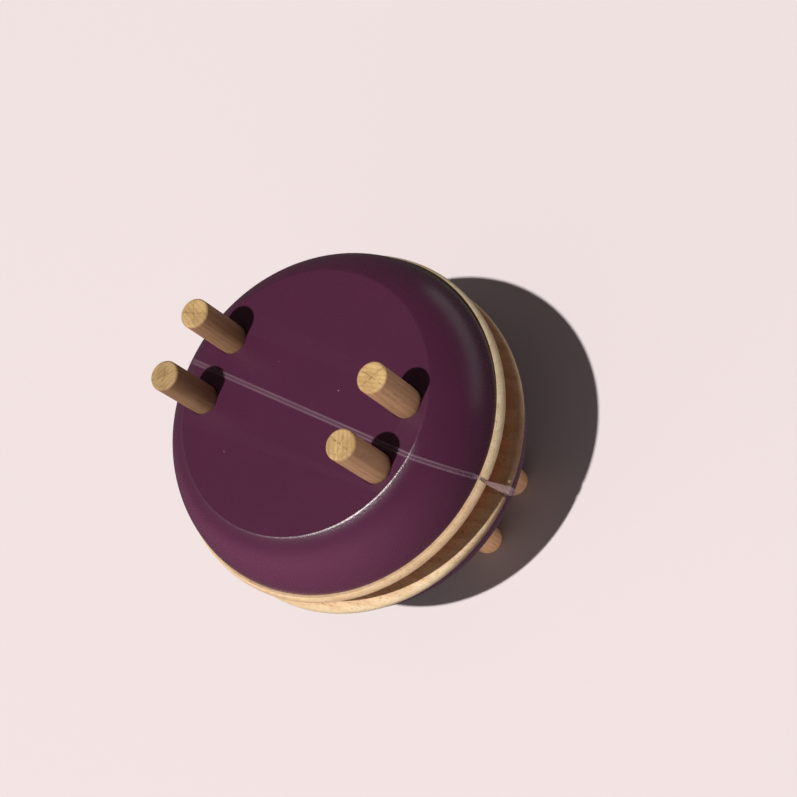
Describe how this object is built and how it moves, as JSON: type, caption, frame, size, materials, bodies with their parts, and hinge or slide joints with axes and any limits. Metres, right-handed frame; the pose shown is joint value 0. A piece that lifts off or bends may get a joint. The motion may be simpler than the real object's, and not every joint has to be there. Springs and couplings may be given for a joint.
{
  "type": "wooden peg shell toy",
  "caption": "Hand toy of two turned wooden shells, painted outside with bare rims, standing on dowel pegs and held rim to rim by a clear elastic loop.",
  "frame": {"origin": "on the surface the part stands on, straight under the turning axis: the centre of the bounding box's bottom face", "axes": "+Z is the turning axis, up from the lower pegs to the upper ones; X runs along the elastic, through the rim notches and between the two pegs of each pair; Y runs across the elastic"},
  "size_m": [0.094, 0.094, 0.0866],
  "materials": {
    "cap_paint": "smooth satin purple paint over wood",
    "rim_wood": "bare pale wood, sanded, clear satin oil",
    "peg_wood": "bare sanded dowel, end grain at the tip",
    "dowel_wood": "bare dowel, hidden",
    "clear_elastic": "clear glossy elastic"
  },
  "bodies": {
    "lower_shell": {"lower_cap": "cap_paint", "lower_rim_plate": "rim_wood", "lower_peg_1": "peg_wood", "lower_peg_2": "peg_wood", "lower_peg_3": "peg_wood", "lower_peg_4": "peg_wood", "locating_dowel": "dowel_wood", "elastic_loop": "clear_elastic"},
    "upper_shell": {"upper_cap": "cap_paint", "upper_rim_plate": "rim_wood", "upper_peg_1": "peg_wood", "upper_peg_2": "peg_wood", "upper_peg_3": "peg_wood", "upper_peg_4": "peg_wood"}
  },
  "joints": [
    {"name": "shells_part", "type": "slide", "parent": "lower_shell", "child": "upper_shell", "axis": [0, 0, 1], "range_m": [0, 0.012], "stiffness_N_per_m": 120, "springref_m": -0.02, "deforming": ["elastic_loop"]}
  ]
}
